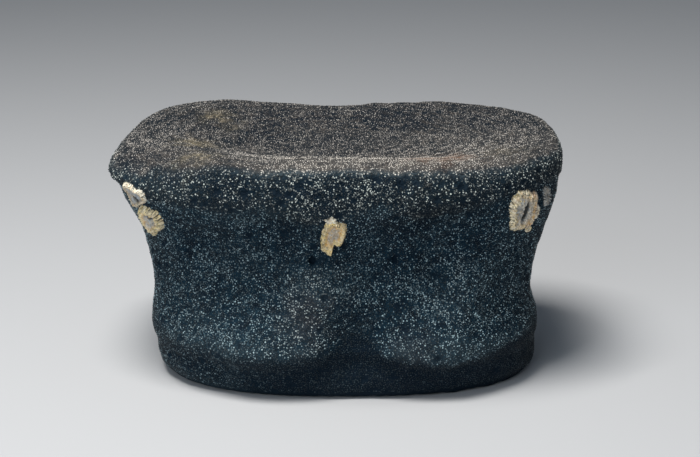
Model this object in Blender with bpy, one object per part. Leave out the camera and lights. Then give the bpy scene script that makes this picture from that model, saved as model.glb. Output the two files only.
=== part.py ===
"""A fossil whale vertebra: the worn centrum of a large whale's backbone, standing on
one end face, with five broken barnacles cemented to its flanks.

The script uses metres, with +Z up. The origin lies on the surface that the bone
stands on, in the middle of the object's footprint. The long front of the bone, its
ventral side, faces -Y; the floor of the nerve canal, its dorsal side, faces +Y.
Sizes below are written in millimetres and turned into metres when a mesh is made.
"""

import math

import bmesh
import bpy
import numpy as np
from mathutils import Matrix, Vector, noise
from mathutils.bvhtree import BVHTree

MM = 0.001

# Driving sizes of the bone, before the swells below: across its upper face, front to
# back, and from end face to end face.
WIDTH = 200.0
DEPTH = 136.0
HEIGHT = 103.0

# The skin of the bone is drawn over these rings. Each has how far it reaches from the
# middle, as shares of half the width and half the depth, and how high it stands, as a
# share of the height. Both are given for the four sides: right, back, left, front. The
# last value is how many levels of the grid lie from the ring above down to this one.
RINGS = {
    "dish": ((0.46, 0.45, 0.44, 0.42), (0.945, 0.945, 0.940, 0.950), 5),
    "crest": ((0.80, 0.86, 0.76, 0.765), (0.990, 0.995, 0.990, 0.990), 4),
    "brow": ((0.915, 0.965, 0.905, 0.850), (0.988, 0.980, 0.968, 0.970), 3),
    "upper rim": ((0.950, 1.00, 1.00, 0.898), (0.940, 0.900, 0.890, 0.895), 3),
    "rim edge": ((0.912, 0.97, 0.955, 0.904), (0.730, 0.790, 0.795, 0.785), 3),
    "rim underside": ((0.862, 0.885, 0.872, 0.818), (0.595, 0.690, 0.640, 0.705), 3),
    "waist": ((0.830, 0.800, 0.826, 0.780), (0.420, 0.480, 0.430, 0.560), 4),
    "lower shoulder": ((0.844, 0.812, 0.830, 0.826), (0.290, 0.300, 0.285, 0.325), 4),
    "lower rim": ((0.862, 0.842, 0.832, 0.882), (0.205, 0.210, 0.205, 0.198), 3),
    "suture": ((0.850, 0.820, 0.812, 0.822), (0.140, 0.145, 0.140, 0.142), 2),
    "foot bulge": ((0.854, 0.820, 0.808, 0.814), (0.060, 0.065, 0.060, 0.078), 2),
    "foot": ((0.808, 0.750, 0.748, 0.775), (0.000, 0.000, 0.000, 0.000), 2),
    "footprint": ((0.640, 0.590, 0.610, 0.600), (-0.004, -0.004, -0.004, -0.004), 2),
    "underside": ((0.400, 0.360, 0.400, 0.360), (0.020, 0.020, 0.020, 0.020), 2),
}
TOP_CENTRE = 0.938
UNDERSIDE_CENTRE = 0.026
LEVELS_TO_UNDERSIDE_CENTRE = 3

# How square the front and back halves of the outline are: 2 is an ellipse, more is squarer.
SQUARE_FRONT = 2.5
SQUARE_BACK = 3.8

# How far the nerve canal dents the back of the outline, and half the width of the dent.
CANAL_DENT = 5.0
CANAL_HALF_WIDTH = 25.0

# How many points of the grid lie round each level.
POINTS_ROUND = 80

# How high above the foot the swells and the lumps reach their full size, so that the
# face that the bone rests on stays flat.
FLAT_BELOW = 6.0

# The sides of the bone: the way each one faces, and which ways are across it and up it.
RIGHT, LEFT = Vector((1, 0, 0)), Vector((-1, 0, 0))
BACK, FRONT = Vector((0, 1, 0)), Vector((0, -1, 0))
UP = Vector((0, 0, 1))
SIDES = {
    "right": (RIGHT, BACK, UP),
    "back": (BACK, RIGHT, UP),
    "left": (LEFT, BACK, UP),
    "front": (FRONT, RIGHT, UP),
    "top": (UP, RIGHT, BACK),
}
PROFILE_SIDES = ("right", "back", "left", "front")

# Swells (above 0) and hollows (below 0) on the sides, in millimetres: how far across
# from the side's middle, how far up, half-width, half-height, how many millimetres the
# shape leans across over its half-height, and how far it stands out.
SWELLS = {
    "front": (
        ("left lobe", -40, 22, 27, 10.5, 0, 3.3),
        ("right lobe", 47, 22, 23, 10.5, 0, 3.1),
        ("arched hollow", 5, 23, 15, 12, 0, -8.4),
        ("keel", -12, 46, 9, 18, 0, 3.8),
        ("hollow right of the keel", 11, 47, 9, 20, 0, -3.2),
        ("slanting ridge", 51, 42, 7, 17, 6, 4.2),
        ("hollow inside the ridge", 37, 57, 8, 13, 3, -3.4),
        ("hollow left of the keel", -36, 56, 22, 14, 0, -1.6),
        ("hollow under the rim", 44, 77, 21, 6.5, 0, -5.0),
        ("hollow under the left rim", -29, 75, 14, 5.5, 0, -3.0),
        ("hollow under the left corner", -58, 68, 14, 7, 0, -2.0),
    ),
    "back": (
        ("nerve canal", 0, 50, 19, 34, 0, -3.0),
        ("right arch stump", 35, 70, 10, 17, 2, 4.2),
        ("left arch stump", -36, 68, 10, 16, -2, 3.8),
        ("right lower hollow", 42, 34, 15, 12, 0, -1.8),
        ("left lower hollow", -42, 36, 15, 12, 0, -1.8),
    ),
    "right": (
        ("side hollow", 4, 38, 22, 12, 0, -1.4),
        ("corner behind the rim", 50, 60, 18, 14, 0, -3.0),
    ),
    "left": (
        ("side hollow", 0, 36, 22, 12, 0, -1.0),
        ("corner behind the rim", 50, 60, 18, 14, 0, -3.0),
    ),
    "top": (
        ("rise at the left of the back", -60, 42, 34, 26, 0, 2.8),
        ("rise in the middle of the front", 2, -44, 34, 10, 0, 0.8),
    ),
}

# Uneven growth and wear over the whole skin: the size of the lumps and their height.
LUMPS = ((46.0, 1.5), (17.0, 0.7))
LUMP_SHIFT = Vector((3.7, 1.3, 8.1))

# How far off the skin a line that looks for it starts.
REACH = 20.0

# Openings of blood vessels: side, across, height, mouth radius, depth, in millimetres.
FORAMINA = {
    "foramen_front_left": ("front", -9.2, 61, 1.3, 5.0),
    "foramen_front_right": ("front", 24.7, 60.5, 1.4, 5.5),
    "foramen_back_left": ("back", -8, 52, 2.2, 7.0),
    "foramen_back_right": ("back", 9, 55, 2.0, 6.5),
}
FORAMEN_SIDES = 10
# The cutter's radius at its inner end and at its outer end, as shares of the mouth's.
FORAMEN_TAPER = (0.35, 1.5)

# The barnacles. Each has its place on a side of the bone (side, across, height), the
# corners of its outline and the middle that its walls stand round, both right and up
# from that place in the plane of the skin, the height of its wall, and the share of its
# radius that its mouth takes.
BARNACLES = {
    "barnacle_left_upper": {
        "place": ("left", -37.5, 83.7),
        "corners": (
            (-6.3, 4.3), (-1.1, 6.9), (3.1, 6.6), (5.5, 4.6), (9.2, 5.2), (10.1, 3.2), (10.0, 0.6),
            (8.0, -1.0), (4.5, -2.2), (0.6, -3.8), (-2.9, -6.2), (-5.4, -6.2), (-6.1, -4.0),
            (-6.8, -1.0), (-7.4, 1.2), (-7.8, 2.8),
        ),
        "middle": (0.6, 0.8),
        "wall": 1.9,
        "mouth": 0.34,
    },
    "barnacle_left_lower": {
        "place": ("left", -36.6, 72.5),
        "corners": (
            (-2.3, 7.2), (1.4, 8.3), (3.5, 8.2), (5.0, 7.8), (5.4, 6.8), (8.7, 7.4), (9.3, 5.5),
            (10.0, 3.8), (8.6, 0.8), (7.9, -1.9), (4.8, -4.0), (1.6, -5.4), (-3.1, -9.3),
            (-6.4, -8.5), (-8.0, -6.5), (-7.6, -3.3), (-7.5, -0.1), (-6.7, 2.8), (-4.8, 5.4),
        ),
        "middle": (0.4, 0.6),
        "wall": 2.6,
        "mouth": 0.30,
    },
    "barnacle_front": {
        "place": ("front", -0.1, 73.2),
        "corners": (
            (-2.8, 7.5), (-4.0, 3.4), (-5.0, -0.7), (-5.4, -4.1), (-5.3, -7.8), (-3.1, -9.6),
            (-1.2, -10.8), (-0.7, -7.8), (-0.1, -4.4), (1.3, -5.8), (3.1, -6.5), (4.3, -3.1),
            (5.0, 0.6), (5.3, 3.7), (5.2, 5.7), (3.0, 7.0), (0.5, 8.3),
        ),
        "middle": (-0.2, 0.0),
        "wall": 2.6,
        "mouth": 0.55,
    },
    "barnacle_right": {
        "place": ("front", 79.2, 78.8),
        "corners": (
            (-5.4, 10.5), (-2.4, 9.9), (-0.3, 10.0), (2.3, 8.2), (5.0, 7.9), (7.8, 5.9), (6.8, 4.5),
            (6.6, 2.1), (6.7, -1.4), (6.5, -4.5), (6.6, -6.2), (6.3, -8.0), (3.4, -9.2),
            (-0.1, -9.9), (-4.0, -9.2), (-6.0, -7.5), (-6.7, -5.6), (-6.4, -3.5), (-7.9, 0.3),
            (-8.8, 2.7), (-7.9, 4.8), (-7.5, 7.3), (-5.8, 8.8),
        ),
        "middle": (0.3, -0.2),
        "wall": 3.0,
        "mouth": 0.26,
    },
    "barnacle_right_worn": {
        "place": ("right", -33.3, 82.2),
        "corners": (
            (-3.4, 5.3), (-0.8, 4.7), (2.2, 1.4), (3.6, -2.7), (3.0, -5.0), (0.8, -4.9),
            (-2.2, -0.7), (-3.8, 3.4),
        ),
        "middle": (0.0, 0.2),
        "wall": 1.1,
        "mouth": 0.40,
    },
}
# The gap to the bone, the thickness of the wall's outer edge, and points round a wall.
BARNACLE_GAP = 0.45
BARNACLE_EDGE = 0.5
BARNACLE_POINTS = 30
# How unevenly the wall has broken down, as a share of its height.
WALL_WEAR = 0.35
# The wall from the floor outwards: shares of the way from the mouth's edge to the outer
# edge, below 0 inside the mouth, and shares of the wall's height.
WALL_STEPS = ((-0.6, 0.14), (0.0, 0.35), (0.17, 0.82), (0.48, 1.0), (0.8, 0.62), (1.0, 0.0))
FLOOR_HEIGHT = 0.1
# The underside's rings, as shares of the radius.
UNDERSIDE_SHARES = (1.0, 0.8, 0.45)
# How far round a barnacle's place the skin is averaged for the way that it faces.
LEVEL_OVER = 6.0

BONE_COLOUR = (0.075, 0.088, 0.092, 1.0)
BARNACLE_COLOUR = (0.62, 0.57, 0.44, 1.0)


def clear_scene():
    """Removes what the scene starts with."""
    for thing in list(bpy.data.objects):
        bpy.data.objects.remove(thing)


def matte(name, colour, roughness):
    """A dull material, as of stone or shell."""
    material = bpy.data.materials.new(name)
    material.use_nodes = True
    shader = material.node_tree.nodes["Principled BSDF"]
    shader.inputs["Base Color"].default_value = colour
    shader.inputs["Roughness"].default_value = roughness
    shader.inputs["Metallic"].default_value = 0.0
    return material


def mesh_object(name, points, faces, material):
    """An object with its place in its mesh; points are in millimetres."""
    mesh = bpy.data.meshes.new(name)
    mesh.from_pydata([tuple(c * MM for c in p) for p in points], [], faces)
    mesh.validate()
    mesh.materials.append(material)
    thing = bpy.data.objects.new(name, mesh)
    bpy.context.scene.collection.objects.link(thing)
    return thing


def smooth_step(value, low, high):
    """0 below low, 1 above high, and a smooth rise between them."""
    share = np.clip((value - low) / (high - low), 0.0, 1.0)
    return share * share * (3.0 - 2.0 * share)


def spline_through(values, knots, at):
    """Values read at the places in at, on a smooth curve through the knots."""
    slopes = np.gradient(values, knots, axis=0)
    piece = np.clip(np.searchsorted(knots, at, side="right") - 1, 0, len(knots) - 2)
    span = (knots[piece + 1] - knots[piece])[:, None]
    s = ((at - knots[piece]) / (knots[piece + 1] - knots[piece]))[:, None]
    return (
        (2 * s**3 - 3 * s**2 + 1) * values[piece]
        + (s**3 - 2 * s**2 + s) * span * slopes[piece]
        + (3 * s**2 - 2 * s**3) * values[piece + 1]
        + (s**3 - s**2) * span * slopes[piece + 1]
    )


def profiles():
    """For each of the four sides, the profile from the upper centre down to the lower
    one, as rows of reach and height in millimetres, a row for each level."""
    half = {"right": WIDTH / 2, "left": WIDTH / 2, "back": DEPTH / 2, "front": DEPTH / 2}
    tables = []
    for index, side in enumerate(PROFILE_SIDES):
        rows = [(0.0, TOP_CENTRE * HEIGHT)]
        rows += [(r[index] * half[side], h[index] * HEIGHT) for r, h, _ in RINGS.values()]
        rows.append((0.0, UNDERSIDE_CENTRE * HEIGHT))
        tables.append(np.array(rows))
    steps = np.mean([np.hypot(*np.diff(table, axis=0).T) for table in tables], axis=0)
    knots = np.concatenate([[0.0], np.cumsum(steps)])
    levels = [count for _, _, count in RINGS.values()] + [LEVELS_TO_UNDERSIDE_CENTRE]
    at = np.interp(np.arange(sum(levels) + 1), np.cumsum([0, *levels]), knots)
    return np.array([spline_through(table, knots, at) for table in tables])


def outline_point(angle, reach, high):
    """The point of a level at this angle. reach and high hold its four sides."""
    c, s = math.cos(angle), math.sin(angle)
    # The squareness changes where the outline crosses from side to side, so it is blended.
    square = SQUARE_FRONT + (SQUARE_BACK - SQUARE_FRONT) * float(smooth_step(s, -0.5, 0.5))
    across = (reach[0] if c > 0 else -reach[2]) * abs(c) ** (2.0 / square)
    deep = (reach[1] if s > 0 else -reach[3]) * abs(s) ** (2.0 / square)
    if s > 0:
        share = reach[1] / (DEPTH / 2)
        deep -= CANAL_DENT * share**2 * math.exp(-((across / CANAL_HALF_WIDTH) ** 2))
    shares = (max(c, 0) ** 2, max(s, 0) ** 2, max(-c, 0) ** 2, max(-s, 0) ** 2)
    return Vector((across, deep, sum(w * h for w, h in zip(shares, high))))


def even_angles():
    """Angles that put the points of an outline about evenly along it."""
    fine = np.linspace(0.0, 2 * math.pi, 2001)
    reach = (WIDTH / 2, DEPTH / 2, WIDTH / 2, DEPTH / 2)
    points = np.array([outline_point(a, reach, (0, 0, 0, 0)) for a in fine])
    along = np.concatenate([[0.0], np.cumsum(np.linalg.norm(np.diff(points, axis=0), axis=1))])
    return np.interp(np.arange(POINTS_ROUND) / POINTS_ROUND * along[-1], along, fine)


def skin_grid():
    """The bare skin as a grid of points, level by level, without its two centres."""
    sides = profiles()
    angles = even_angles()
    return [
        [outline_point(angle, sides[:, level, 0], sides[:, level, 1]) for angle in angles]
        for level in range(1, sides.shape[1] - 1)
    ]


def grid_faces(levels, around):
    """Quads of the grid, and the fans that close it at its two centres."""
    def at(level, step):
        return 1 + level * around + step % around

    faces = [(0, at(0, step), at(0, step + 1)) for step in range(around)]
    faces += [
        (at(level, step), at(level + 1, step), at(level + 1, step + 1), at(level, step + 1))
        for level in range(levels - 1)
        for step in range(around)
    ]
    last = 1 + levels * around
    faces += [(last, at(levels - 1, step + 1), at(levels - 1, step)) for step in range(around)]
    return faces


def swell_at(point, normal):
    """How far the swells and hollows move a point of the skin outwards, in millimetres."""
    moved = 0.0
    for side, swells in SWELLS.items():
        facing, across_way, up_way = SIDES[side]
        seen = float(smooth_step(normal.dot(facing), 0.1, 0.7))
        if seen == 0.0:
            continue
        across = point.dot(across_way)
        for _, middle, height, wide, tall, lean, amount in swells:
            up = (point.dot(up_way) - height) / tall
            sideways = (across - middle - lean * up) / wide
            moved += seen * amount * math.exp(-(sideways**2) - up**2)
    return moved


def lump_at(point):
    """Uneven growth and wear at a point of the skin, in millimetres."""
    return sum(high * noise.noise(point / size + LUMP_SHIFT) for size, high in LUMPS)


def bone(material):
    """The centrum, in one piece."""
    rows = skin_grid()
    points = [Vector((0, 0, TOP_CENTRE * HEIGHT))]
    points += [point for row in rows for point in row]
    points.append(Vector((0, 0, UNDERSIDE_CENTRE * HEIGHT)))
    faces = grid_faces(len(rows), POINTS_ROUND)
    thing = mesh_object("vertebra", points, faces, material)
    normals = [vertex.normal.copy() for vertex in thing.data.vertices]
    for vertex, normal in zip(thing.data.vertices, normals):
        place = vertex.co / MM
        shift = swell_at(place, normal) + lump_at(place)
        place += normal * shift * float(smooth_step(place.z, 0.0, FLAT_BELOW))
        vertex.co = Vector((place.x, place.y, max(place.z, 0.0))) * MM
    thing.data.shade_smooth()
    return thing


def surface_of(thing):
    """A search tree over an object's triangles, in metres."""
    graph = bpy.context.evaluated_depsgraph_get()
    graph.update()
    return BVHTree.FromObject(thing, graph)


def place_on(tree, side, across, height):
    """Where a level line from outside meets the skin, in millimetres, and the way out."""
    facing, across_way, _ = SIDES[side]
    start = facing * WIDTH + across_way * across + Vector((0, 0, height))
    hit, normal, _, _ = tree.ray_cast(start * MM, -facing)
    return hit / MM, normal


def foramen(name, tree, side, across, height, radius, depth):
    """A tapering cutter, left out of the finished object, for one vessel's opening."""
    place, normal = place_on(tree, side, across, height)
    mesh = bpy.data.meshes.new(name)
    shape = bmesh.new()
    bmesh.ops.create_cone(
        shape,
        cap_ends=True,
        segments=FORAMEN_SIDES,
        radius1=radius * FORAMEN_TAPER[0] * MM,
        radius2=radius * FORAMEN_TAPER[1] * MM,
        depth=2 * depth * MM,
    )
    shape.to_mesh(mesh)
    shape.free()
    turn = normal.to_track_quat("Z", "Y").to_matrix().to_4x4()
    mesh.transform(Matrix.Translation(place * MM) @ turn)
    cutter = bpy.data.objects.new(name, mesh)
    bpy.context.scene.collection.objects.link(cutter)
    cutter.hide_render = True
    cutter.display_type = "WIRE"
    return cutter


def open_foramina(thing, tree):
    """Cuts the vessels' openings into the bone."""
    for name, values in FORAMINA.items():
        cut = thing.modifiers.new(name, "BOOLEAN")
        cut.operation = "DIFFERENCE"
        cut.solver = "EXACT"
        cut.object = foramen(name, tree, *values)


def level_at(tree, place):
    """The place on the skin, and the ways out of it, right and up, in millimetres. The way
    out is averaged, so that a barnacle lies level on its stretch of skin."""
    middle, _ = place_on(tree, *place)
    near = tree.find_nearest_range(middle * MM, LEVEL_OVER * MM)
    out = sum((found[1] for found in near), Vector()).normalized()
    up = (UP - out * out.z).normalized()
    return middle, out, up.cross(out), up


def outline_radius(corners, middle, angles):
    """How far the closed line through the corners lies from the middle, at each angle."""
    offsets = np.array(corners) - np.array(middle)
    turn = np.arctan2(offsets[:, 0], offsets[:, 1]) % math.tau
    order = np.argsort(turn)
    far = np.hypot(offsets[:, 0], offsets[:, 1])[order]
    return np.interp(angles, turn[order], far, period=math.tau)


def barnacle(name, tree, material, place, corners, middle, wall, mouth):
    """One barnacle, broken down to a low ring of wall about its mouth. Its underside
    follows the bone, at BARNACLE_GAP from it."""
    base, out, right, up = level_at(tree, place)
    angles = np.arange(BARNACLE_POINTS) * math.tau / BARNACLE_POINTS
    radius = outline_radius(corners, middle, angles)

    def skin(step, share):
        across = middle[0] + share * radius[step] * math.sin(angles[step])
        along = middle[1] + share * radius[step] * math.cos(angles[step])
        above = base + right * across + up * along + out * REACH
        hit, _, _, _ = tree.ray_cast(above * MM, -out)
        return hit / MM

    def lifted(step, share, high):
        around = Vector((math.cos(angles[step]), math.sin(angles[step]), share + wall))
        uneven = 1.0 + WALL_WEAR * noise.noise(around * 2.0)
        return skin(step, share) + out * (BARNACLE_GAP + BARNACLE_EDGE + wall * high * uneven)

    steps = range(BARNACLE_POINTS)
    shares = [(mouth + (1.0 - mouth if way > 0 else mouth) * way, high) for way, high in WALL_STEPS]
    rows = [[lifted(step, share, high) for step in steps] for share, high in shares]
    rows += [[skin(step, share) + out * BARNACLE_GAP for step in steps] for share in UNDERSIDE_SHARES]
    points = [lifted(0, 0.0, FLOOR_HEIGHT)] + [p for row in rows for p in row]
    points.append(skin(0, 0.0) + out * BARNACLE_GAP)
    faces = grid_faces(len(rows), BARNACLE_POINTS)
    thing = mesh_object(name, points, faces, material)
    shape = bmesh.new()
    shape.from_mesh(thing.data)
    bmesh.ops.recalc_face_normals(shape, faces=shape.faces)
    shape.to_mesh(thing.data)
    shape.free()
    thing.data.shade_smooth()
    return thing


def centre_on_footprint(thing):
    """Moves the bone level so that the origin is in the middle of its footprint."""
    corners = np.array([vertex.co for vertex in thing.data.vertices])
    middle = (corners.min(axis=0) + corners.max(axis=0)) / 2
    thing.data.transform(Matrix.Translation((-middle[0], -middle[1], 0.0)))


def main():
    clear_scene()
    bone_look = matte("fossil_bone", BONE_COLOUR, 0.8)
    shell_look = matte("barnacle_shell", BARNACLE_COLOUR, 0.7)
    vertebra = bone(bone_look)
    centre_on_footprint(vertebra)
    tree = surface_of(vertebra)
    for name, values in BARNACLES.items():
        barnacle(name, tree, shell_look, **values)
    open_foramina(vertebra, tree)


main()
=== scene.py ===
# %% [markdown]
# # A fossil whale vertebra
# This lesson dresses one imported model: the body of a whale's backbone joint, dark and
# stone-like, with five broken barnacles stuck to it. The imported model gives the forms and
# the sizes. This script gives the surface: the worn, grainy skin, the pits and growth
# rings, the ribbed shells, and the colours.
#
# Cells are run from top to bottom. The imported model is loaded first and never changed.

import math

import bmesh
import bpy
import numpy as np
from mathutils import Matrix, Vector, noise
from mathutils.bvhtree import BVHTree
from mathutils.kdtree import KDTree


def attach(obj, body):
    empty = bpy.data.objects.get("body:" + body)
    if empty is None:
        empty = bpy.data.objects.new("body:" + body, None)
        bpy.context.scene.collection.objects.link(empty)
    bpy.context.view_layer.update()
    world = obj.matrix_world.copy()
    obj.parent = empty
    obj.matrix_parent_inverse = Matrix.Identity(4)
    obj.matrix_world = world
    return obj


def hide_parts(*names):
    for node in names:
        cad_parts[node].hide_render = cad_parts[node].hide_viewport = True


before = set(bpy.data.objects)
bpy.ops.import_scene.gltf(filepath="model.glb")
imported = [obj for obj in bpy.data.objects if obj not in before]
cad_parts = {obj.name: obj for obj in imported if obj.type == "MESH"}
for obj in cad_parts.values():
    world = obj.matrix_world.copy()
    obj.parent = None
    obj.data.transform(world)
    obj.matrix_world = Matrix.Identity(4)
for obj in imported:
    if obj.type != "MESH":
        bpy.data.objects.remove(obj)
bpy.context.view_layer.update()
MM = 0.001
print("nodes:", ", ".join(sorted(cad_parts)))

# %% [markdown]
# ## Camera
# The camera stands a little above the bone and looks straight at its ventral side. A long
# lens from 0.85 m keeps the perspective mild, as in a product photograph. The lens could
# be typed in, but here it follows from the width that the picture has to show.

# %% Camera
FRAME_WIDTH = 0.309
CAMERA_DISTANCE = 0.85
CAMERA_RISE = math.radians(16)
LOOK_AT = Vector((0.0065, 0.0, 0.0585))
SENSOR = 36.0


def add_camera():
    """Makes the camera that the picture is taken with."""
    data = bpy.data.cameras.new("camera")
    data.sensor_width = SENSOR
    data.lens = SENSOR * CAMERA_DISTANCE / FRAME_WIDTH
    camera = bpy.data.objects.new("camera", data)
    bpy.context.scene.collection.objects.link(camera)
    away = Vector((0.0, -math.cos(CAMERA_RISE), math.sin(CAMERA_RISE)))
    camera.location = LOOK_AT + away * CAMERA_DISTANCE
    camera.rotation_euler = (-away).to_track_quat("-Z", "Y").to_euler()
    bpy.context.scene.camera = camera
    bpy.context.scene.view_settings.view_transform = "Standard"
    return camera


print("lens:", round(add_camera().data.lens, 1), "mm")

# %% [markdown]
# ## Floor and lights
# The floor is a plain pale disc, so wide that its edge is out of sight. The main light is
# a soft panel overhead and a little in front: it leaves the upper face bright and rakes
# down the sides, so that every lump catches light and every hollow goes dark. A wider and
# weaker panel in front lights the shells and keeps the shade from going black.

# %% Floor and lights
FLOOR_RADIUS = 6.0
FLOOR_COLOUR = (0.46, 0.47, 0.49, 1.0)
SKY_COLOUR, SKY_STRENGTH = (0.74, 0.86, 1.0, 1.0), 0.16
# For each panel: its place, its size and power, and its colour.
PANELS = {
    "overhead": ((-0.20, -0.26, 1.0), 0.42, 15.0, (1.0, 0.97, 0.92)),
    "front_fill": ((-0.45, -1.1, 0.50), 0.7, 5.8, (0.86, 0.94, 1.0)),
}
PANEL_AIM = Vector((0.0, 0.0, 0.05))


def add_floor():
    """A plain pale disc for the bone to stand on."""
    mesh = bpy.data.meshes.new("floor")
    shape = bmesh.new()
    bmesh.ops.create_circle(shape, cap_ends=True, segments=96, radius=FLOOR_RADIUS)
    shape.to_mesh(mesh)
    shape.free()
    material = bpy.data.materials.new("pale_floor")
    material.use_nodes = True
    shader = material.node_tree.nodes["Principled BSDF"]
    shader.inputs["Base Color"].default_value = FLOOR_COLOUR
    shader.inputs["Roughness"].default_value = 0.85
    mesh.materials.append(material)
    floor = bpy.data.objects.new("floor", mesh)
    bpy.context.scene.collection.objects.link(floor)


def add_panel(name, place, size, power, colour):
    """A soft square light, turned towards the bone."""
    data = bpy.data.lights.new(name, "AREA")
    data.shape = "SQUARE"
    data.size = size
    data.energy = power
    data.color = colour
    light = bpy.data.objects.new(name, data)
    bpy.context.scene.collection.objects.link(light)
    light.location = place
    light.rotation_euler = (PANEL_AIM - Vector(place)).to_track_quat("-Z", "Y").to_euler()


add_floor()
for panel, values in PANELS.items():
    add_panel(panel, *values)
world = bpy.data.worlds.new("studio")
world.use_nodes = True
sky = world.node_tree.nodes["Background"]
sky.inputs["Color"].default_value = SKY_COLOUR
sky.inputs["Strength"].default_value = SKY_STRENGTH
bpy.context.scene.world = world
print("panels:", ", ".join(PANELS))

# %% [markdown]
# ## Helpers for meshes
# A piece is worked on as arrays of points, in millimetres, because a change to a hundred
# thousand points is then one line. The finished piece is an object at the origin, with
# its place in its mesh.

# %% Mesh helpers


def points_of(mesh):
    """All points of a mesh, in millimetres."""
    points = np.empty(len(mesh.vertices) * 3)
    mesh.vertices.foreach_get("co", points)
    return points.reshape(-1, 3) / MM


def normals_of(mesh):
    """The outward direction at each point of a mesh."""
    normals = np.empty(len(mesh.vertices) * 3)
    mesh.vertex_normals.foreach_get("vector", normals)
    return normals.reshape(-1, 3)


def edges_of(mesh):
    """The two ends of each edge."""
    ends = np.empty(len(mesh.edges) * 2, dtype=np.int32)
    mesh.edges.foreach_get("vertices", ends)
    return ends.reshape(-1, 2)


def set_points(mesh, points):
    """Moves the points of a mesh; points are in millimetres."""
    mesh.vertices.foreach_set("co", (points * MM).ravel())
    mesh.update()


def set_value(mesh, name, values):
    """Stores one number for each point, for a material to read."""
    layer = mesh.attributes.new(name, "FLOAT", "POINT")
    layer.data.foreach_set("value", np.asarray(values, dtype=np.float32))


def link(name, mesh):
    """An object at the origin for a finished mesh."""
    thing = bpy.data.objects.new(name, mesh)
    bpy.context.scene.collection.objects.link(thing)
    return thing


def triangles_in(mesh):
    """How many triangles a mesh has."""
    return sum(len(polygon.vertices) - 2 for polygon in mesh.polygons)


def smooth_step(value, low, high):
    """0 below low, 1 above high, and a smooth rise between them."""
    share = np.clip((value - low) / (high - low), 0.0, 1.0)
    return share * share * (3.0 - 2.0 * share)


def neighbour_mean(values, ends, count):
    """The mean of each point's neighbours, for numbers or for places."""
    flat = values.reshape(count, -1)
    total = np.zeros_like(flat)
    for column in range(flat.shape[1]):
        total[:, column] += np.bincount(ends[:, 0], flat[ends[:, 1], column], count)
        total[:, column] += np.bincount(ends[:, 1], flat[ends[:, 0], column], count)
    how_many = np.bincount(ends.ravel(), minlength=count)
    return (total / how_many[:, None]).reshape(values.shape)


def noise_at(points, size, seed=0.0):
    """Smooth noise between about -1 and 1 at each point, with lumps of this size."""
    shift = Vector((seed * 7.1, seed * 3.7, seed * 5.3))
    return np.array([noise.noise(Vector(p) / size + shift) for p in points])


# %% [markdown]
# ## The skin of the bone
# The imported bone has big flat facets. A fine skin is grown over a copy of it: the copy's
# doubles are merged, a subdivision rounds the facets, and a voxel remesh gives an even net
# of small faces. Sculpting would need the same net first. Relief is put in later, by moving
# points along their normals.

# %% Grow the fine skin
SKIN_CELL = 0.00109


def fine_skin(node, name):
    """An even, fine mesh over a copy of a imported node."""
    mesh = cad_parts[node].data.copy()
    mesh.name = name
    shape = bmesh.new()
    shape.from_mesh(mesh)
    bmesh.ops.remove_doubles(shape, verts=shape.verts, dist=1e-6)
    shape.to_mesh(mesh)
    shape.free()
    mesh.materials.clear()
    thing = link(name, mesh)
    rounding = thing.modifiers.new("rounding", "SUBSURF")
    rounding.levels = rounding.render_levels = 2
    net = thing.modifiers.new("net", "REMESH")
    net.mode = "VOXEL"
    net.voxel_size = SKIN_CELL
    graph = bpy.context.evaluated_depsgraph_get()
    made = bpy.data.meshes.new_from_object(thing.evaluated_get(graph))
    thing.modifiers.clear()
    thing.data = made
    made.name = name
    return thing


bone = fine_skin("vertebra", "bone")
print("skin:", len(bone.data.vertices), "points,", triangles_in(bone.data), "triangles")

# %% [markdown]
# ## Soften the net
# A voxel net keeps small steps, like stairs, where the skin slopes. Each point is pulled
# halfway to the mean of its neighbours and then pushed back by about as much, which takes
# the steps out and leaves the size as it was. A plain smoothing would shrink the bone.

# %% Soften the net
SOFTENING_ROUNDS = 6
PULL, PUSH = 0.5, 0.51


def soften(mesh, rounds):
    """Pulls each point towards its neighbours, then back, so that the mesh doesn't shrink."""
    ends = edges_of(mesh)
    points = points_of(mesh)
    for _ in range(rounds):
        points += PULL * (neighbour_mean(points, ends, len(points)) - points)
        points -= PUSH * (neighbour_mean(points, ends, len(points)) - points)
    set_points(mesh, points)


soften(bone.data, SOFTENING_ROUNDS)
print("softened in", SOFTENING_ROUNDS, "rounds")

# %% [markdown]
# ## Zones of the skin
# Each part of the bone wore in its own way. The upper face is an end plate: dense and
# nearly smooth, and pale along its front crest. The rim below it broke open, so that its
# sponge of bone shows coarse and speckled, down to a ragged ledge. The waist is finer. The
# foot gets painted shade, darkened as if in the shadow of the lobes above it. Each zone is
# worked out as one number for each point, from its place and its direction; zones could be
# painted by hand, but numbers are the same on every run.

# %% Measure the zones
OUTLINE_HALF_WIDTH, OUTLINE_HALF_DEPTH, OUTLINE_POWER = 97.5, 64.0, 2.5
# How low the broken rim reaches along the front, as pairs of a place across and a height.
RIM_LINE = (
    (-92.0, 87.0), (-75.0, 84.4), (-60.0, 83.7), (-40.0, 82.0), (-29.0, 85.0), (-18.0, 80.3),
    (-9.0, 77.5), (6.0, 81.0), (19.0, 87.5), (33.0, 79.4), (48.0, 81.7), (64.0, 86.2), (92.0, 90.0),
)
RIM_BEHIND = 85.0
# How high the foot's painted shade reaches along the front, as pairs of a place across and a height.
FOOT_LINE = (
    (-85.0, 29.0), (-72.0, 27.0), (-47.0, 21.0), (-18.0, 18.0), (-4.0, 23.0), (8.5, 31.0),
    (20.0, 23.0), (31.0, 18.0), (56.0, 18.0), (68.0, 20.0), (80.0, 24.0), (90.0, 25.0),
)
FOOT_BEHIND = 16.0
SMOOTHING_ROUNDS, SMOOTHING_PULL = 60, 0.6

points = points_of(bone.data)
normals = normals_of(bone.data)
ends = edges_of(bone.data)
COUNT = len(points)

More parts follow.
